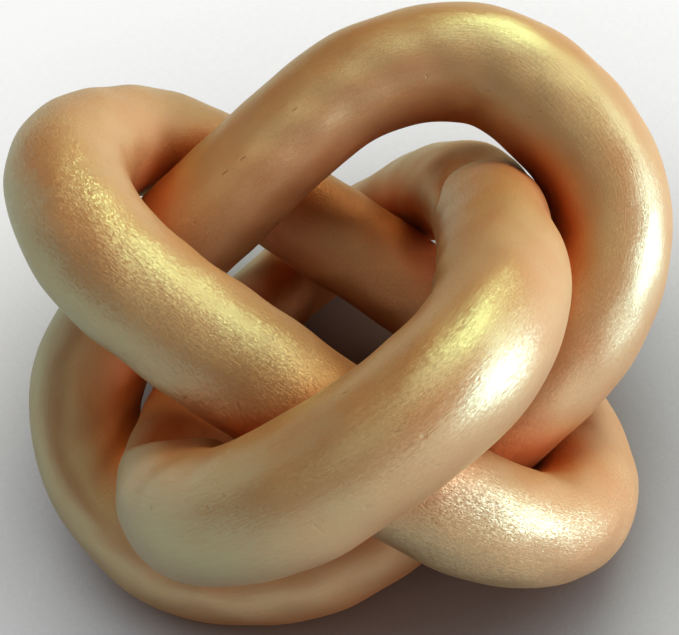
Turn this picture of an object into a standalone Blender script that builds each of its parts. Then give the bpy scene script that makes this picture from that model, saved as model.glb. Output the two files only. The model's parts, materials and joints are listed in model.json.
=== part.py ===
"""Wooden knot of three identical oval links.

Each link is a closed oval of round wood. No two links are threaded through each other, yet the
three together can't come apart: each one passes round the second and through the third. They share
one centre, they face three ways round the vertical, and they stand on one end of each.

Two links are cut whole. The third is made as two halves, so that it can be closed round the others,
with a wooden dowel across the seam in each of its legs.

Lengths are in metres and angles in degrees. +Z is up, and the origin is on the table, under the centre.
"""

import math

import bmesh
import bpy
import numpy as np
from mathutils import Matrix, Vector

# Driving dimensions of one link
ROD_DIAMETER = 0.025        # thickness of the round wood
OPENING_WIDTH = 0.0515      # clear width inside the oval
END_PLAY = 0.0017           # the opening is longer than a link is wide by this much
CORNER_POWER = 2.75         # roundness of the oval: 2 is an ellipse, more is squarer

# Joint of the link that is made in two halves
SEAM_OFFSET = 0.0165        # from the link's middle towards its foot
DOWEL_DIAMETER = 0.008
DOWEL_LENGTH = 0.024

# How the links stand
CLEARANCE = 0.0003          # least gap between two pieces
FOOT_DEPTH = 0.0005         # depth of the small flat under each link
ARCH_HEADING = -102.4       # way that the arch link dips, round +Z from +X
LONG_AXIS_TURN = 45.0       # from a link's line of steepest dip to its long axis

# Faces of a link
ROD_SIDES = 20
LINK_STEPS = 56
DOWEL_SIDES = 16

ROD_RADIUS = ROD_DIAMETER / 2
HALF_WIDTH = OPENING_WIDTH / 2 + ROD_RADIUS
LINK_WIDTH = 2 * (HALF_WIDTH + ROD_RADIUS)
OPENING_LENGTH = LINK_WIDTH + END_PLAY
HALF_LENGTH = OPENING_LENGTH / 2 + ROD_RADIUS

LINK_COUNT = 3
HEADING_STEP = 360.0 / LINK_COUNT
SQUARE_DIP = math.degrees(math.atan(math.sqrt(2)))   # the three planes are square to each other
FLATTEST_DIP = 5.0
DIP_STEP = 0.5
DIP_HALVINGS = 20
FINE_POINTS = 720
ANGLE_NUDGE = 1e-4          # radians either side of a point, for the direction of the rod there
SHARP_EDGE_ANGLE = 40.0

GOLD_PAINT = {"color": (0.66, 0.46, 0.20, 1.0), "roughness": 0.38, "metallic": 0.85}
BARE_BEECH = {"color": (0.66, 0.46, 0.28, 1.0), "roughness": 0.65, "metallic": 0.0}


def oval_points(angles):
    """Centreline of a link in its own plane, long axis along X, as an array of (x, y)."""
    c = np.cos(angles)
    s = np.sin(angles)
    reach = (np.abs(c) ** CORNER_POWER + np.abs(s) ** CORNER_POWER) ** (-1.0 / CORNER_POWER)
    return np.stack([HALF_LENGTH * reach * c, HALF_WIDTH * reach * s], axis=1)


def even_angles(count):
    """Angles whose centreline points lie an equal way apart."""
    angles = np.linspace(0.0, 2 * math.pi, FINE_POINTS + 1)
    points = oval_points(angles)
    way = np.concatenate([[0.0], np.cumsum(np.linalg.norm(np.diff(points, axis=0), axis=1))])
    return np.interp(np.arange(count) * way[-1] / count, way, angles)


def link_axes(index, dip):
    """Long axis, short axis and normal of a link, as the columns of a matrix."""
    heading = math.radians(ARCH_HEADING + HEADING_STEP * index)
    slope = math.radians(dip)
    turn = math.radians(LONG_AXIS_TURN)
    down = Vector((math.cos(heading) * math.cos(slope), math.sin(heading) * math.cos(slope), -math.sin(slope)))
    level = Vector((math.sin(heading), -math.cos(heading), 0.0))
    long_axis = down * math.cos(turn) + level * math.sin(turn)
    short_axis = down * math.sin(turn) - level * math.cos(turn)
    return Matrix((long_axis, short_axis, long_axis.cross(short_axis))).transposed()


def centreline(index, dip):
    """Centreline of a link about the common centre."""
    axes = np.array(link_axes(index, dip))
    flat = oval_points(np.linspace(0.0, 2 * math.pi, FINE_POINTS, endpoint=False))
    return flat @ axes[:, :2].T


def link_gap(dip):
    """Least gap between two links that dip alike. The other pairs are this pair turned."""
    first = centreline(0, dip)
    second = centreline(1, dip)
    apart = np.linalg.norm(first[:, None, :] - second[None, :, :], axis=2)
    return apart.min() - ROD_DIAMETER


def settled_dip():
    """Dip at which the links, let down from square to each other, come to rest on each other."""
    high = SQUARE_DIP
    low = high - DIP_STEP
    while low > FLATTEST_DIP and link_gap(low) > CLEARANCE:
        high = low
        low -= DIP_STEP
    for _ in range(DIP_HALVINGS):
        middle = (low + high) / 2
        if link_gap(middle) < CLEARANCE:
            low = middle
        else:
            high = middle
    return high


def link_mesh(foot_plane):
    """Round rod swept along the oval, with a small flat where the link stands."""
    angles = even_angles(LINK_STEPS)
    points = oval_points(angles)
    tangents = oval_points(angles + ANGLE_NUDGE) - oval_points(angles - ANGLE_NUDGE)
    tangents /= np.linalg.norm(tangents, axis=1)[:, None]
    mesh = bmesh.new()
    rings = []
    for (x, y), (tangent_x, tangent_y) in zip(points, tangents):
        outward = Vector((tangent_y, -tangent_x, 0.0))
        ring = []
        for side in range(ROD_SIDES):
            around = 2 * math.pi * side / ROD_SIDES
            offset = outward * math.cos(around) + Vector((0.0, 0.0, math.sin(around)))
            ring.append(mesh.verts.new(Vector((x, y, 0.0)) + offset * ROD_RADIUS))
        rings.append(ring)
    for step in range(LINK_STEPS):
        here = rings[step]
        there = rings[(step + 1) % LINK_STEPS]
        for side in range(ROD_SIDES):
            after = (side + 1) % ROD_SIDES
            mesh.faces.new((here[side], there[side], there[after], here[after]))
    cut_flat(mesh, *foot_plane)
    return mesh


def cut_flat(mesh, point, normal):
    """Cut away what lies past a plane, on the side that its normal points to, and close the cut."""
    parts = list(mesh.verts) + list(mesh.edges) + list(mesh.faces)
    cut = bmesh.ops.bisect_plane(mesh, geom=parts, plane_co=point, plane_no=normal, clear_outer=True)
    rim = [item for item in cut["geom_cut"] if isinstance(item, bmesh.types.BMEdge)]
    bmesh.ops.holes_fill(mesh, edges=rim, sides=0)
    bmesh.ops.recalc_face_normals(mesh, faces=mesh.faces)


def round_bar(radius, length):
    """Closed round bar along X, centred on the origin."""
    mesh = bmesh.new()
    bmesh.ops.create_cone(
        mesh, cap_ends=True, segments=DOWEL_SIDES, radius1=radius, radius2=radius, depth=length,
        matrix=Matrix.Rotation(math.pi / 2, 4, "Y"),
    )
    bmesh.ops.recalc_face_normals(mesh, faces=mesh.faces)
    return mesh


def make_material(name, finish):
    material = bpy.data.materials.new(name)
    material.use_nodes = True
    shader = material.node_tree.nodes["Principled BSDF"]
    shader.inputs["Base Color"].default_value = finish["color"]
    shader.inputs["Roughness"].default_value = finish["roughness"]
    shader.inputs["Metallic"].default_value = finish["metallic"]
    material.diffuse_color = finish["color"]
    return material


def add_object(name, mesh, place, finish=None):
    """Object from a finished mesh, set at a place. A cutter has no finish and stays hidden."""
    data = bpy.data.meshes.new(name)
    mesh.to_mesh(data)
    mesh.free()
    data.shade_smooth()
    data.set_sharp_from_angle(angle=math.radians(SHARP_EDGE_ANGLE))
    item = bpy.data.objects.new(name, data)
    bpy.context.collection.objects.link(item)
    item.matrix_world = place
    if finish:
        data.materials.append(make_material(name + "_finish", finish))
    else:
        item.hide_render = True
        item.display_type = "WIRE"
    return item


def drill(item, cutter):
    hole = item.modifiers.new("hole_" + cutter.name, "BOOLEAN")
    hole.operation = "DIFFERENCE"
    hole.solver = "EXACT"
    hole.object = cutter


def seam_points():
    """Where the seam crosses the middle of each leg, as (name, point in the link's own frame)."""
    side = HALF_WIDTH * (1 - (SEAM_OFFSET / HALF_LENGTH) ** CORNER_POWER) ** (1 / CORNER_POWER)
    return [("right", Vector((SEAM_OFFSET, side, 0.0))), ("left", Vector((SEAM_OFFSET, -side, 0.0)))]


def build_split_link(name, foot_plane, place):
    """Link in two halves, with a dowel across the seam in each leg."""
    along = Vector((1.0, 0.0, 0.0))
    seam = Vector((SEAM_OFFSET, 0.0, 0.0))
    halves = []
    for half, side in (("upper_half", 1), ("lower_half", -1)):
        mesh = link_mesh(foot_plane)
        cut_flat(mesh, seam - along * side * CLEARANCE / 2, along * side)
        halves.append(add_object(name + "_" + half, mesh, place, GOLD_PAINT))
    for leg, point in seam_points():
        seat = place @ Matrix.Translation(point)
        hole = round_bar(DOWEL_DIAMETER / 2 + CLEARANCE, DOWEL_LENGTH + 2 * CLEARANCE)
        cutter = add_object(leg + "_dowel_hole", hole, seat)
        for half in halves:
            drill(half, cutter)
        add_object(leg + "_dowel", round_bar(DOWEL_DIAMETER / 2, DOWEL_LENGTH), seat, BARE_BEECH)


def build():
    for item in list(bpy.data.objects):
        bpy.data.objects.remove(item, do_unlink=True)
    dip = settled_dip()
    lowest = centreline(0, dip)[:, 2].min() - ROD_RADIUS
    centre = Vector((0.0, 0.0, -lowest - FOOT_DEPTH))
    places = [Matrix.Translation(centre) @ link_axes(index, dip).to_4x4() for index in range(LINK_COUNT)]
    into_link = places[0].inverted()
    foot_plane = (into_link @ Vector((0.0, 0.0, 0.0)), into_link.to_3x3() @ Vector((0.0, 0.0, -1.0)))
    build_split_link("arch_link", foot_plane, places[0])
    add_object("cross_link", link_mesh(foot_plane), places[1], GOLD_PAINT)
    add_object("front_link", link_mesh(foot_plane), places[2], GOLD_PAINT)
    print("dip %.3f, centre %.3f mm up, gap %.3f mm" % (dip, centre.z * 1000, link_gap(dip) * 1000))


build()
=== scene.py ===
import json
import math

import bmesh
import bpy
import numpy as np
from mathutils import Matrix, Vector


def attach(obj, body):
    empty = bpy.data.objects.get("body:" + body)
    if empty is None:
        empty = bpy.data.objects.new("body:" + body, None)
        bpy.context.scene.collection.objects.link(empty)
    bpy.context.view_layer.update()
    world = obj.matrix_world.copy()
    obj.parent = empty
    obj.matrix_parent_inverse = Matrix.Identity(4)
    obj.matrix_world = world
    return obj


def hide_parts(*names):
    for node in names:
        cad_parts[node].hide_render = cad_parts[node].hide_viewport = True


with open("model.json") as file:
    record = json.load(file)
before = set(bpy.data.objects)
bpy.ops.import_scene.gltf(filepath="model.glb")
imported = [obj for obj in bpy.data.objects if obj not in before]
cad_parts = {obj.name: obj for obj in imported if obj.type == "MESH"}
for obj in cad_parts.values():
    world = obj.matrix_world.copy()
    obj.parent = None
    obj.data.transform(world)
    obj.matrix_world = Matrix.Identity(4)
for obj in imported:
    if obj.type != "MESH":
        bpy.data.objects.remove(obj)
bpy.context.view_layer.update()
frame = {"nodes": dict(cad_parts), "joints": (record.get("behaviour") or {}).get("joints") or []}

# Lengths are in metres and angles in degrees. The link, its rod and how it stands are those of the solids.
mm = 0.001

knot = {
    "openingWidth": 51.5 * mm,
    "rodDiameter": 25.0 * mm,
    "endPlay": 1.7 * mm,          # the opening is longer than a link is wide by this much
    "cornerPower": 2.75,          # roundness of the oval
    "archHeading": -102.4,        # way that the arch link dips, round +Z from +X
    "headingStep": 120,
    "dip": 39.171,
    "longAxisTurn": 45.0,
    "paintInset": 0.25 * mm,      # the painted surface stays about this far inside a true round rod
    "steps": 480,                 # rings along a whole link
    "sides": 120,                 # corners of a ring
    "wayPoints": 4001,            # points that measure the way along the loop
    "fineCuts": 4,                # extra cuts of a face where there is a mark
    "fineMargin": 0.55,           # mm round a mark that are cut too
    "sharpAngle": 60,
}
middle = Vector(frame["joints"][0]["pos_m"])     # the three links share this centre
rodRadius = knot["rodDiameter"] / 2
halfWidth = knot["openingWidth"] / 2 + rodRadius
halfLength = halfWidth + rodRadius + knot["endPlay"] / 2 + rodRadius

# Glued joint across the arch link
seam = {
    "offset": 16.5 * mm,
    "gap": 0.03 * mm,             # hairline that the paint has bridged
    "holeRadius": 4.3 * mm,
    "holeDepth": 12.3 * mm,
    "between": (0.1, 0.3),        # shares of the loop between which the seam crosses a leg
    "halvings": 30,
}


def ovalPoint(angles):
    c = np.cos(angles)
    s = np.sin(angles)
    power = knot["cornerPower"]
    reach = (np.abs(c) ** power + np.abs(s) ** power) ** (-1 / power)
    return np.stack([halfLength * reach * c, halfWidth * reach * s], axis=-1)


def linkPlace(index):
    heading = math.radians(knot["archHeading"] + knot["headingStep"] * index)
    slope = math.radians(knot["dip"])
    turn = math.radians(knot["longAxisTurn"])
    level = math.cos(slope)
    down = Vector((math.cos(heading) * level, math.sin(heading) * level, -math.sin(slope)))
    aside = Vector((math.sin(heading), -math.cos(heading), 0))
    longAxis = down * math.cos(turn) + aside * math.sin(turn)
    shortAxis = down * math.sin(turn) - aside * math.cos(turn)
    axes = Matrix((longAxis, shortAxis, longAxis.cross(shortAxis))).transposed()
    return Matrix.Translation(middle) @ axes.to_4x4()


fineAngles = np.linspace(0, 2 * math.pi, knot["wayPoints"])
fineSteps = np.linalg.norm(np.diff(ovalPoint(fineAngles), axis=0), axis=1)
fineWay = np.concatenate([[0], np.cumsum(fineSteps)])
loopLength = fineWay[-1]

# Carved unevenness: waves that close on themselves along and round the rod, long soft ones and short ones
unevenness = {
    "waves": 24,
    "depth": 0.16 * mm,
    "mostAlong": 9,               # most cycles along the loop
    "mostAround": 3,              # most cycles round the rod
    "softening": 4,               # a wave of this many cycles is 0.7 as high as a very long one
    "gain": 2.5,
}
ripple = {"waves": 30, "depth": 0.018 * mm, "along": (10, 30), "around": 8}

# Marks are bent a little, with sides that slope. Their lengths are in mm.
markShape = {"wobble": 0.25, "bends": 9, "power": 1.5}
pinhole = {
    "size": (0.3, 0.62),
    "stretch": (1, 1, 1.6, 2.4),
    "depth": 0.08,
    "depthSpread": (0.5, 1.2),
    "shares": (0.02, 0.98),
    "sides": (-165, 165),
    "turns": (-10, 10),
    "seedStep": 100,
}
rounding = {"reach": 14, "points": 9}            # how far a hollow's lines are rounded at their corners


def smoothStep(x):
    x = np.clip(x, 0, 1)
    return x * x * (3 - 2 * x)


def wrapped(value, period):
    return (value + period / 2) % period - period / 2


def carvedWaves(along, around, seed):
    random = np.random.default_rng(seed)
    total = np.zeros(along.shape)
    most = 0
    for _ in range(unevenness["waves"]):
        cycles = random.integers(1, unevenness["mostAlong"] + 1)
        turns = random.integers(-unevenness["mostAround"], unevenness["mostAround"] + 1)
        phase = random.uniform(0, 2 * math.pi)
        height = 1 / math.sqrt(1 + cycles / unevenness["softening"])
        total += height * np.sin(2 * math.pi * cycles * along + turns * np.radians(around) + phase)
        most += height
    short = np.zeros(along.shape)
    for _ in range(ripple["waves"]):
        cycles = random.integers(*ripple["along"])
        turns = random.integers(-ripple["around"], ripple["around"] + 1)
        phase = random.uniform(0, 2 * math.pi)
        short += np.sin(2 * math.pi * cycles * along + turns * np.radians(around) + phase)
    return unevenness["depth"] * (total / most * unevenness["gain"] - 1) + ripple["depth"] * short


def swellHeight(along, around, swell):
    share, side, height, run, spread = swell
    way = wrapped(along - share, 1) * loopLength / (run * mm)
    turn = wrapped(around - side, 360) / spread
    return height * mm * np.exp(-(way ** 2 + turn ** 2) / 2)


def eased(value, pairs):
    # A line from pair to pair, with its corners rounded off
    places, amounts = zip(*pairs)
    shifts = np.linspace(-rounding["reach"], rounding["reach"], rounding["points"])
    return sum(np.interp(value + shift, places, amounts) for shift in shifts) / rounding["points"]


def hollowDepth(along, around, hollow):
    degrees = np.where(around < -90, around + 360, around)
    past = (along - eased(degrees, hollow["crest"])) * loopLength * hollow["way"] / mm
    rise = smoothStep(past / hollow["run"]) * (1 - smoothStep((past - hollow["run"]) / hollow["fade"]))
    return eased(degrees, hollow["depth"]) * mm * rise


def markPlace(along, around, mark):
    share, side, *_, turn = mark
    way = wrapped(along - share, 1) * loopLength / mm
    across = np.radians(wrapped(around - side, 360)) * rodRadius / mm
    c = math.cos(math.radians(turn))
    s = math.sin(math.radians(turn))
    return way * c + across * s, across * c - way * s


def markDepth(along, around, mark):
    length, width, depth = mark[2:5]
    x, y = markPlace(along, around, mark)
    y = y + markShape["wobble"] * width * np.sin(markShape["bends"] * x / length)
    inside = np.clip(1 - (2 * x / length) ** 2 - (2 * y / width) ** 2, 0, 1)
    return depth * mm * inside ** markShape["power"]


def allMarks(link):
    random = np.random.default_rng(link["seed"] + pinhole["seedStep"])
    marks = list(link["marks"])
    for _ in range(link["pinholes"]):
        size = random.uniform(*pinhole["size"])
        length = size * random.choice(pinhole["stretch"])
        share = random.uniform(*pinhole["shares"])
        side = random.uniform(*pinhole["sides"])
        depth = pinhole["depth"] * random.uniform(*pinhole["depthSpread"])
        marks.append((share, side, length, size, depth, random.uniform(*pinhole["turns"])))
    return marks


def rodPoint(link, along, around, marks=()):
    # Points of the carved surface in the link's own frame, and how deep each is in a mark
    along = along % 1
    radius = rodRadius - knot["paintInset"] + carvedWaves(along, around, link["seed"])
    for swell in link["swells"]:
        radius += swellHeight(along, around, swell)
    for hollow in link.get("hollows", []):
        radius -= hollowDepth(along, around, hollow)
    sunk = np.zeros(along.shape)
    for mark in marks:
        sunk = np.maximum(sunk, markDepth(along, around, mark))
    angles = np.interp(along * loopLength, fineWay, fineAngles)
    nudge = 1e-4
    tangent = ovalPoint(angles + nudge) - ovalPoint(angles - nudge)
    tangent /= np.linalg.norm(tangent, axis=-1)[..., None]
    reach = (radius - sunk) * np.cos(np.radians(around))
    x, y = np.moveaxis(ovalPoint(angles), -1, 0)
    z = (radius - sunk) * np.sin(np.radians(around))
    return np.stack([x + reach * tangent[..., 1], y - reach * tangent[..., 0], z], axis=-1), sunk


def seamShares(link, around, side):
    # How far round the loop from the foot each line along the rod meets the seam plane:
    # side 1 goes the way that the shares grow, side -1 the other way
    low, high = (np.full(around.shape, share) for share in seam["between"])
    for _ in range(seam["halvings"]):
        guess = (low + high) / 2
        point, _ = rodPoint(link, guess if side > 0 else 1 - guess, around)
        ahead = point[..., 0] > seam["offset"]
        low = np.where(ahead, guess, low)
        high = np.where(ahead, high, guess)
    return low


def gridShares(link, around, half):
    # Share of the loop of each corner, ring by ring.
    # half 0 is a whole link, 1 the part of it away from the foot, -1 the part with the foot
    steps = knot["steps"]
    if not half:
        return np.broadcast_to(np.arange(steps)[:, None] / steps, (steps, len(around)))
    near = seamShares(link, around, 1)
    far = 1 - seamShares(link, around, -1)
    start, end = (near, far) if half > 0 else (far - 1, near)
    count = round(steps * (end - start).mean()) + 1
    return start + (end - start) * np.linspace(0, 1, count)[:, None]


def addGrid(mesh, along, around, closed):
    wayLayer = mesh.verts.layers.float.new("along")
    sideLayer = mesh.verts.layers.float.new("side")
    steps, sides = along.shape
    rings = []
    for i in range(steps):
        ring = []
        for j in range(sides):
            corner = mesh.verts.new((0, 0, 0))
            corner[wayLayer] = along[i, j]
            corner[sideLayer] = around[j]
            ring.append(corner)
        rings.append(ring)
    cells = {}
    for i in range(steps - (0 if closed else 1)):
        here, there = rings[i], rings[(i + 1) % steps]
        for j in range(sides):
            after = (j + 1) % sides
            cells[i, j] = mesh.faces.new((here[j], there[j], there[after], here[after]))
    return cells


def refine(mesh, cells, along, around, marks):
    # Cuts the faces round each mark more finely, so that the mark is real shape
    steps, sides = along.shape
    middles = (along[:-1] + along[1:]) / 2
    turns = np.broadcast_to((around + np.append(around[1:], 180)) / 2, middles.shape)
    margin = knot["fineMargin"]
    wanted = np.zeros((steps - 1, sides), bool)
    for mark in marks:
        x, y = markPlace(middles, turns, mark)
        wanted |= (np.abs(x) < mark[2] / 2 + margin) & (np.abs(y) < mark[3] / 2 + margin)
    wanted[:, -1] = False
    wanted[[0, -1]] = False
    edges = set()
    for i, j in zip(*np.nonzero(wanted)):
        edges.update(cells[i, j].edges)
    edges = sorted(edges, key=lambda edge: edge.index)
    bmesh.ops.subdivide_edges(mesh, edges=edges, cuts=knot["fineCuts"], use_grid_fill=True)


def closeLeg(mesh, ring, side, x, inward):
    # Flat end of a leg, with the hole for its dowel
    power = knot["cornerPower"]
    leg = halfWidth * (1 - (seam["offset"] / halfLength) ** power) ** (1 / power)
    turns = np.radians(np.linspace(-180, 180, len(ring), endpoint=False))
    rims = [ring]
    for depth in (0, seam["holeDepth"]):
        rim = []
        for turn in turns:
            y = side * (leg + seam["holeRadius"] * math.cos(turn))
            rim.append(mesh.verts.new((x + inward * depth, y, seam["holeRadius"] * math.sin(turn))))
        rims.append(rim)
    bottom = mesh.verts.new((x + inward * seam["holeDepth"], side * leg, 0))
    for j in range(len(ring)):
        after = (j + 1) % len(ring)
        for outer, inner in zip(rims, rims[1:]):
            mesh.faces.new((outer[j], inner[j], inner[after], outer[after])).material_index = 1
        mesh.faces.new((rims[-1][j], bottom, rims[-1][after])).material_index = 1


def closeSeam(mesh, corners, sideLayer, half):
    rims = [corner for corner in corners if corner.is_boundary]
    rims.sort(key=lambda corner: corner[sideLayer])
    x = seam["offset"] - half * seam["gap"]
    for side in (1, -1):
        ring = [corner for corner in rims if corner.co.y * side > 0]
        for corner in ring:
            corner.co.x = x
        closeLeg(mesh, ring, side, x, -half)


def setPaintPlaces(data, ways, turns, sunk, hollowed):
    # What the paint needs to know of each corner: its place round the rod and the loop,
    # and how deep it is in a mark or in a hollow
    total = len(data.vertices)
    loop = 2 * math.pi * np.resize(ways, total)
    ring = np.radians(np.resize(turns, total))
    places = np.stack([np.cos(ring), np.sin(ring), np.cos(loop)], axis=1)
    data.attributes.remove(data.attributes["along"])
    data.attributes.remove(data.attributes["side"])
    data.attributes.new("ringPlace", "FLOAT_VECTOR", "POINT").data.foreach_set("vector", places.ravel())
    data.attributes.new("loopPlace", "FLOAT", "POINT").data.foreach_set("value", np.sin(loop))
    for name, depths in (("markDepth", sunk), ("hollowDepth", hollowed)):
        atCorners = np.zeros(total)
        atCorners[:len(depths)] = depths / mm
        data.attributes.new(name, "FLOAT", "POINT").data.foreach_set("value", atCorners)


def makeRod(name, link, half=0):
    around = np.linspace(-180, 180, knot["sides"], endpoint=False)
    along = gridShares(link, around, half)
    marks = allMarks(link)
    mesh = bmesh.new()
    cells = addGrid(mesh, along, around, closed=not half)
    mesh.edges.index_update()
    refine(mesh, cells, along, around, marks)
    wayLayer = mesh.verts.layers.float["along"]
    sideLayer = mesh.verts.layers.float["side"]
    corners = list(mesh.verts)
    ways = np.array([corner[wayLayer] for corner in corners])
    turns = np.array([corner[sideLayer] for corner in corners])
    points, sunk = rodPoint(link, ways, turns, marks)
    hollowed = np.zeros(len(points))
    for hollow in link.get("hollows", []):
        hollowed += hollowDepth(ways, turns, hollow)
    for corner, point in zip(corners, points):
        corner.co = point
    if half:
        closeSeam(mesh, corners, sideLayer, half)
    bmesh.ops.recalc_face_normals(mesh, faces=mesh.faces)
    mesh.transform(linkPlace(link["index"]))
    for corner in mesh.verts:
        corner.co.z = max(corner.co.z, 0)         # worn flat under the foot
    data = bpy.data.meshes.new(name)
    mesh.to_mesh(data)
    mesh.free()
    data.shade_smooth()
    data.set_sharp_from_angle(angle=math.radians(knot["sharpAngle"]))
    setPaintPlaces(data, ways, turns, sunk, hollowed)
    item = bpy.data.objects.new(name, data)
    bpy.context.scene.collection.objects.link(item)
    return item


class Nodes:
    def __init__(self, owner, shader="Principled BSDF"):
        owner.use_nodes = True
        self.tree = owner.node_tree
        self.shader = self.tree.nodes[shader]

    def put(self, node, key, value):
        # A socket goes by its name, or by i and its number where several have one name
        if key[0] == "i" and key[1:].isdigit():
            socket = node.inputs[int(key[1:])]
        else:
            socket = node.inputs[key.replace("_", " ")]
        if isinstance(value, bpy.types.NodeSocket):
            self.tree.links.new(value, socket)
        else:
            socket.default_value = value

    def add(self, kind, settings=None, **sockets):
        node = self.tree.nodes.new("ShaderNode" + kind)
        for key, value in (settings or {}).items():
            setattr(node, key, value)
        for key, value in sockets.items():
            self.put(node, key, value)
        return node

    def shade(self, **sockets):
        for key, value in sockets.items():
            self.put(self.shader, key, value)

    def attribute(self, name, output="Fac"):
        return self.add("Attribute", {"attribute_name": name}).outputs[output]

    def objectPlace(self):
        return self.add("TexCoord").outputs["Object"]

    def number(self, operation, first, second):
        return self.add("Math", {"operation": operation}, i0=first, i1=second).outputs[0]

    def vector(self, operation, first, second):
        return self.add("VectorMath", {"operation": operation}, i0=first, i1=second).outputs[0]

    def scaled(self, vector, amount):
        return self.add("VectorMath", {"operation": "SCALE"}, i0=vector, Scale=amount).outputs[0]

    def noise(self, place, scale, detail, roughness):
        node = self.add("TexNoise", Vector=place, Scale=scale, Detail=detail, Roughness=roughness)
        return node.outputs["Fac"]

    def ranged(self, value, ends, results=(0, 1), **settings):
        low, high = ends
        least, most = results
        return self.add("MapRange", settings, Value=value, From_Min=low, From_Max=high,
                        To_Min=least, To_Max=most).outputs[0]

    def mixed(self, share, first, second):
        first, second = ((*colour, 1) if isinstance(colour, tuple) else colour for colour in (first, second))
        return self.add("Mix", {"data_type": "RGBA"}, i0=share, i6=first, i7=second).outputs[2]

    def openness(self, samples, reach):
        return self.add("AmbientOcclusion", {"samples": samples}, Distance=reach).outputs["AO"]

    def bumped(self, height, distance, **sockets):
        return self.add("Bump", Height=height, Distance=distance, **sockets).outputs[0]

    def paleRays(self):
        # 1 for the rays that show the pale surroundings: to the camera, in the paint and through glass
        ray = self.add("LightPath").outputs
        seen = self.number("MAXIMUM", ray["Is Camera Ray"], ray["Is Glossy Ray"])
        return self.number("MAXIMUM", seen, ray["Is Transmission Ray"])


goldPaintLook = {
    "gold": (0.62, 0.28, 0.11),
    "copper": (0.60, 0.21, 0.068),
    "cloudScale": 70,                 # patches of the two, about 15 mm
    "cloudEnds": (0.35, 0.68),
    "inMarks": (0.40, 0.15, 0.05),
    "markEnds": (0.015, 0.12),        # mm of depth over which that tone comes in
    "crevice": (0.53, 0.12, 0.018),   # painted shade: deep red-brown where other links or the floor are near, in place of shade and red inter-reflection
    "creviceReach": 45 * mm,
    "creviceSamples": 8,
    "creviceEnds": (0.95, 0.28),      # openness at which the painted shade starts, and at which it is full
    "hollowShadeEnds": (0.2, 2.0),         # mm of hollow over which the painted shade comes in too
    "metal": (0.06, 0.85),            # in the open and in the painted shade, where it tints reflections red-brown
    "satin": (0.33, 0.46),            # least and most roughness in the open
    "satinEnds": (0.3, 0.7),
    "creviceDull": 0.60,              # roughness in the painted shade
    "flash": (0.56, 1.0, 0.68),       # tint of the mirror-like share
    "flashIor": 2.05,
    "grainScale": 5200,               # paint grain, about 0.2 mm
    "grainHeight": 0.02 * mm,
    "streaks": (40, 14),              # scale of the brush streaks across the rod and along it
    "flakes": (76, 148),              # the same for flakes, which are about 0.16 mm across and 0.37 mm along
}


def stretchedPlace(paint, units):
    # Place on a link for a pattern that is stretched along the rod and closes on itself
    across, along = units
    place = paint.vector("MULTIPLY", paint.attribute("ringPlace", "Vector"), (across, across, along))
    return {"Vector": place, "W": paint.number("MULTIPLY", paint.attribute("loopPlace"), along)}


def makeGoldPaint(name, brush):
    look = goldPaintLook
    material = bpy.data.materials.new(name)
    paint = Nodes(material)
    streaks = paint.add("TexNoise", {"noise_dimensions": "4D"}, **stretchedPlace(paint, look["streaks"]),
                        Scale=1.0, Detail=3.0, Roughness=0.6).outputs["Fac"]
    flakes = paint.add("TexVoronoi", {"voronoi_dimensions": "4D"}, **stretchedPlace(paint, look["flakes"]),
                       Scale=1.0).outputs["Color"]
    grain = paint.noise(paint.objectPlace(), look["grainScale"], detail=2.0, roughness=0.6)
    cloud = paint.noise(paint.objectPlace(), look["cloudScale"], detail=4.0, roughness=0.55)

    # Painted shade: near other links or the floor, and in the hollows, the colour turns deep red-brown and
    # the paint duller and more metallic, in place of shade and of the red light the links throw on each
    # other. Marks are dark
    clear = paint.openness(look["creviceSamples"], look["creviceReach"])
    crevice = paint.ranged(clear, look["creviceEnds"], interpolation_type="SMOOTHSTEP")
    hollow = paint.ranged(paint.attribute("hollowDepth"), look["hollowShadeEnds"])
    paintedShadeShare = paint.number("MAXIMUM", crevice, hollow)
    inMark = paint.ranged(paint.attribute("markDepth"), look["markEnds"])
    colour = paint.mixed(paint.ranged(cloud, look["cloudEnds"]), look["gold"], look["copper"])
    # the colour turns to the painted shade where the rod is hemmed in or hollowed
    colour = paint.mixed(paintedShadeShare, colour, look["crevice"])
    colour = paint.mixed(inMark, colour, look["inMarks"])
    satin = paint.ranged(streaks, look["satinEnds"], look["satin"])
    dull = paint.add("Mix", i0=paintedShadeShare, i2=satin, i3=look["creviceDull"]).outputs[0]

    # Each flake leans its own way, under brush streaks and fine grain
    lean = paint.scaled(paint.vector("SUBTRACT", flakes, (0.5, 0.5, 0.5)), brush["flakeTilt"])
    leaning = paint.vector("ADD", paint.add("NewGeometry").outputs["Normal"], lean)
    flat = paint.add("VectorMath", {"operation": "NORMALIZE"}, i0=leaning).outputs[0]
    brushed = paint.bumped(streaks, brush["streakHeight"], Normal=flat)
    grained = paint.bumped(grain, look["grainHeight"], Normal=brushed)

    # the painted shade raises Metallic too, so that reflections there come out red-brown: a painted
    # reflection
    metal = paint.ranged(paintedShadeShare, (0, 1), look["metal"])
    paint.shade(Base_Color=colour, Metallic=metal, Roughness=dull, Normal=grained)
    paint.shade(IOR=look["flashIor"], Specular_IOR_Level=1.0, Specular_Tint=(*look["flash"], 1))
    return material


beechLook = {
    "pale": (0.62, 0.43, 0.26),
    "dark": (0.42, 0.26, 0.14),
    "rings": 900,
    "stretch": (0.12, 1, 1),
    "ridge": 0.05 * mm,
    "roughness": 0.62,
}


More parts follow.
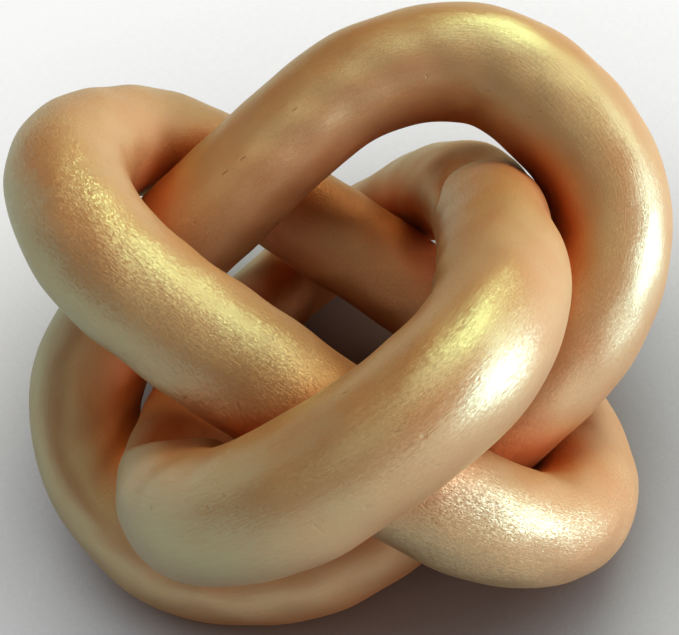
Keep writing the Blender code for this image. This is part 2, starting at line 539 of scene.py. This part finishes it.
def makeBeech():
    look = beechLook
    material = bpy.data.materials.new("bareBeech")
    wood = Nodes(material)
    turned = wood.add("Mapping", Vector=wood.objectPlace(), Scale=look["stretch"]).outputs[0]
    rings = wood.noise(turned, look["rings"], detail=4.0, roughness=0.6)
    wood.shade(Base_Color=wood.mixed(rings, look["pale"], look["dark"]), Roughness=look["roughness"])
    wood.shade(Normal=wood.bumped(rings, look["ridge"]))
    return material


beech = makeBeech()
print("bare wood made")


def addLink(name, link, body, node, half=0):
    item = makeRod(name, link, half)
    item.data.materials.append(link["paint"])
    if half:
        item.data.materials.append(beech)
    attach(item, body)
    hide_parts(node)
    print("%s made, %d faces" % (name, len(item.data.polygons)))


# A place on a link is its share of the way round the loop, from the foot, and its side of the rod:
# 0 is outward, 90 is up and 180 is towards the opening.
# Swells are where the carver left the rod fuller or thinner: share, side, height, run, spread
# Marks are share, side, length, width, depth and turn from the grain
archLink = {
    "index": 0,
    "seed": 3,
    "swells": [
        (0.345, 6, 1.3, 11, 40), (0.430, 10, -0.6, 9, 35), (0.510, 17, 0.7, 10, 35),
        (0.647, 20, 0.9, 9, 35), (0.780, 20, 0.7, 8, 30), (0.895, 24, 1.0, 7, 40),
        (0.071, 18, -2.3, 9, 45), (0.110, 12, -0.9, 7, 35), (0.650, -165, -0.8, 7, 35),
        (0.560, -166, 1.0, 10, 35), (0.480, -170, 0.2, 6, 30), (0.765, -165, 0.7, 8, 35),
        (0.935, 9, -0.3, 9, 40), (0.456, -178, 1.2, 6, 32), (0.505, -178, 0.6, 6, 32),
        (0.428, -178, 0.6, 5, 32),
    ],
    "marks": [
        (0.738, 90, 2.6, 0.35, 0.18, 4), (0.724, 92, 2.5, 0.35, 0.18, 3), (0.681, 89, 2.1, 0.3, 0.16, 2),
        (0.733, 93, 1.5, 0.25, 0.08, -8), (0.595, 120, 0.7, 0.6, 0.1, 0), (0.556, 131, 0.9, 0.5, 0.08, 50),
        (0.544, 128, 0.9, 0.5, 0.08, 50), (0.508, 124, 1.8, 0.35, 0.12, 35), (0.505, 113, 1.4, 0.3, 0.1, 30),
        (0.543, 70, 1.1, 0.25, 0.08, 70), (0.489, 68, 0.7, 0.5, 0.08, 0), (0.446, 75, 0.9, 0.4, 0.09, 45),
        (0.773, 105, 0.8, 0.5, 0.1, 20),
    ],
    "pinholes": 26,
    "brush": {"streakHeight": 0.05 * mm, "flakeTilt": 0.12},
}
archLink["paint"] = makeGoldPaint("archLinkPaint", archLink["brush"])
addLink("archLinkUpper", archLink, "arch_link", "arch_link_upper_half", 1)
addLink("archLinkLower", archLink, "arch_link", "arch_link_lower_half", -1)
for dowel in ("left_dowel", "right_dowel"):
    for place in frame["nodes"][dowel].material_slots:
        place.material = beech

crossLink = {
    "index": 1,
    "seed": 5,
    "swells": [
        (0.512, 38, 1.7, 12, 45), (0.435, 63, 0.8, 10, 40), (0.642, -50, 1.0, 8, 35),
        (0.608, -46, 0.5, 6, 35), (0.640, 120, -0.7, 8, 35), (0.735, 118, 0.4, 10, 35),
        (0.738, -53, -0.7, 5, 30), (0.260, 70, 0.6, 12, 35), (0.300, -115, 1.0, 9, 35),
        (0.945, -4, -2.3, 11, 48), (0.915, -38, -0.9, 8, 35), (0.040, 56, -0.7, 8, 35),
        (0.578, 51, -0.2, 9, 40), (0.236, 80, 0.3, 5, 35),
    ],
    "marks": [
        (0.666, 92, 0.8, 0.4, 0.08, 10), (0.615, 83, 1.4, 0.4, 0.06, 5), (0.585, 99, 3, 0.4, 0.06, 10),
        (0.543, 88, 2.2, 0.4, 0.06, -8), (0.899, 58, 0.6, 0.5, 0.08, 0), (0.933, 81, 0.8, 0.5, 0.08, 30),
    ],
    "pinholes": 20,
    "brush": {"streakHeight": 0.06 * mm, "flakeTilt": 0.31},
}
crossLink["paint"] = makeGoldPaint("crossLinkPaint", crossLink["brush"])
addLink("crossLink", crossLink, "cross_link", "cross_link")

frontLink = {
    "index": 2,
    "seed": 8,
    "swells": [
        (0.350, 42, 0.9, 9, 45), (0.714, -8, -1.3, 6, 24), (0.540, -60, -1.0, 9, 35),
        (0.436, -40, -1.5, 8, 40), (0.612, 119, -1.1, 8, 35), (0.525, 109, -0.6, 14, 35),
        (0.955, 78, -1.2, 8, 40), (0.840, 36, 0.7, 6, 35), (0.070, 78, -1.4, 8, 40),
        (0.895, -150, 1.0, 6, 30), (0.735, 26, 0.7, 9, 22),
    ],
    "marks": [
        (0.426, 55, 0.9, 0.8, 0.11, 0), (0.463, 61, 0.6, 0.6, 0.08, 0), (0.468, 47, 0.7, 0.6, 0.08, 0),
        (0.46, 44, 0.5, 1, 0.09, 8), (0.456, 46, 0.4, 1, 0.05, 8), (0.472, 36, 0.6, 0.6, 0.08, 0),
        (0.487, 36, 0.7, 0.6, 0.07, 10), (0.494, -5, 0.3, 3.4, 0.07, 6), (0.497, 0, 0.3, 1.8, 0.05, 14),
        (0.537, 22, 1, 0.6, 0.1, 30), (0.543, 8, 0.7, 0.7, 0.1, 0), (0.541, -18, 0.8, 0.6, 0.09, 10),
        (0.515, -11, 0.9, 0.6, 0.08, 30), (0.566, 13, 0.9, 0.4, 0.07, 60), (0.473, -13, 0.8, 0.6, 0.07, 0),
        (0.633, 46, 0.8, 0.6, 0.07, 0),
    ],
    "pinholes": 24,
    "brush": {"streakHeight": 0.04 * mm, "flakeTilt": 0.15},
    # Hollows behind the crest at each end of the near leg: the crest goes by side and share, the depth by
    # side and mm. It is deepest run mm past the crest, and gone fade mm further on.
    "hollows": [
        {
            "crest": [(20, 0.712), (32, 0.757), (54, 0.772), (108, 0.773), (132, 0.737)],
            "depth": [(15, 0), (40, 0.8), (62, 1.9), (85, 2.9), (115, 3.1), (140, 1.8), (165, 0)],
            "way": 1, "run": 6, "fade": 28,
        },
        {
            "crest": [(50, 0.345), (96, 0.370), (121, 0.387), (161, 0.366)],
            "depth": [(62, 0), (84, 1.3), (105, 3.0), (150, 3.4), (180, 0.8)],
            "way": -1, "run": 6, "fade": 30,
        },
    ],
}
frontLink["paint"] = makeGoldPaint("frontLinkPaint", frontLink["brush"])
addLink("frontLink", frontLink, "front_link", "front_link")

# Floor of pale paper, which shows white to the camera and in the paint, and stays dark under the knot
floorLook = {
    "size": 40.0,
    "colour": 0.10,
    "white": 0.86,
    "roughness": 0.9,
    "shade": 0.20,                    # reach of the soft shadow under the knot
    "shadePower": 4.0,
    "shadeSamples": 16,
    "shadeTint": (1.0, 0.55, 0.32),   # light that the knot throws back into its own shadow
    "tintEnds": (0.35, 0.65),         # openness at which that tint is full, and at which it is gone
}
size = floorLook["size"]
floorMesh = bpy.data.meshes.new("floor")
floorCorners = [(-size, -size, 0), (size, -size, 0), (size, size, 0), (-size, size, 0)]
floorMesh.from_pydata(floorCorners, [], [(0, 1, 2, 3)])
floor = bpy.data.objects.new("floor", floorMesh)
bpy.context.scene.collection.objects.link(floor)
paleFloor = bpy.data.materials.new("paleFloor")
paper = Nodes(paleFloor)
clear = paper.openness(floorLook["shadeSamples"], floorLook["shade"])
shaded = paper.number("POWER", clear, floorLook["shadePower"])
tint = paper.mixed(paper.ranged(clear, floorLook["tintEnds"]), floorLook["shadeTint"], (1, 1, 1))
white = paper.number("MULTIPLY", shaded, floorLook["white"])
paper.shade(Base_Color=paper.scaled(tint, floorLook["colour"]), Roughness=floorLook["roughness"],
            Emission_Color=tint, Emission_Strength=paper.number("MULTIPLY", white, paper.paleRays()))
floorMesh.materials.append(paleFloor)
print("floor laid")

# Lamps: turn 0 is beyond the knot and 90 is to the right, as the photograph's viewer sees it
lamps = {
    "windowLamp": {"turn": 110, "rise": 14, "size": 0.46, "watts": 8.0, "colour": (0.74, 0.82, 1)},
    "highWindowLamp": {"turn": 84, "rise": 38, "size": 0.36, "watts": 1.8, "colour": (0.95, 1, 0.88)},
    "skyLamp": {"turn": 40, "rise": 56, "size": 0.34, "watts": 3.4, "colour": (1, 0.98, 0.58)},
    "topLamp": {"turn": 114, "rise": 84, "size": 0.45, "watts": 1.2, "colour": (1, 0.95, 0.75)},
    "leftLamp": {"turn": 285, "rise": 32, "size": 0.45, "watts": 0.4, "colour": (0.92, 0.97, 1)},
    "fillLamp": {"turn": 215, "rise": 50, "size": 0.50, "watts": 0.5, "colour": (1, 0.98, 0.80)},
    "sideLamp": {"turn": 150, "rise": 20, "size": 0.50, "watts": 0.7, "colour": (1, 0.95, 0.90)},
}
lampDistance = 0.9
for name, lamp in lamps.items():
    data = bpy.data.lights.new(name, "AREA")
    data.shape = "DISK"
    data.size = lamp["size"]
    data.energy = lamp["watts"]
    data.color = lamp["colour"]
    item = bpy.data.objects.new(name, data)
    bpy.context.scene.collection.objects.link(item)
    turn = math.radians(lamp["turn"])
    rise = math.radians(lamp["rise"])
    way = Vector((math.sin(turn) * math.cos(rise), math.cos(turn) * math.cos(rise), math.sin(rise)))
    item.location = middle + way * lampDistance
    item.rotation_mode = "QUATERNION"
    item.rotation_quaternion = way.to_track_quat("Z", "Y")
print("lamps set")

# Room: a pale wall all round up to a low height, and hardly any light of its own
roomLook = {
    "light": 0.02,
    "wall": 0.86,
    "wallEnds": (19.0, 11.0),         # heights over the horizon at which the wall ends, and is fully pale
}
world = bpy.data.worlds.new("studio")
bpy.context.scene.world = world
room = Nodes(world, "Background")
height = room.add("SeparateXYZ", i0=room.add("TexCoord").outputs["Generated"]).outputs["Z"]
wallEnds = [math.sin(math.radians(end)) for end in roomLook["wallEnds"]]
wall = room.ranged(height, wallEnds, (0, roomLook["wall"]))
strength = room.number("ADD", room.number("MULTIPLY", room.paleRays(), wall), roomLook["light"])
room.shade(Color=(1, 1, 1, 1), Strength=strength)
print("room made")

# Camera
view = {
    "place": (0.92 * mm, -140.68 * mm, 203.83 * mm),
    "aim": (0.05 * mm, 0.27 * mm, 48.43 * mm),
    "roll": 7.614,
    "lens": 51.06,
    "sensorWidth": 36,
    "shift": (-0.0016, 0.0031),
    "nearest": 0.01,
}
cameraData = bpy.data.cameras.new("camera")
cameraData.lens = view["lens"]
cameraData.sensor_width = view["sensorWidth"]
cameraData.shift_x, cameraData.shift_y = view["shift"]
cameraData.clip_start = view["nearest"]
camera = bpy.data.objects.new("camera", cameraData)
bpy.context.scene.collection.objects.link(camera)
camera.location = view["place"]
camera.rotation_mode = "QUATERNION"
sight = Vector(view["aim"]) - Vector(view["place"])
upright = sight.to_track_quat("-Z", "Y").to_matrix()
camera.rotation_quaternion = (upright @ Matrix.Rotation(math.radians(-view["roll"]), 3, "Z")).to_quaternion()
bpy.context.scene.camera = camera
bpy.context.scene.view_settings.view_transform = "Standard"
print("camera set")
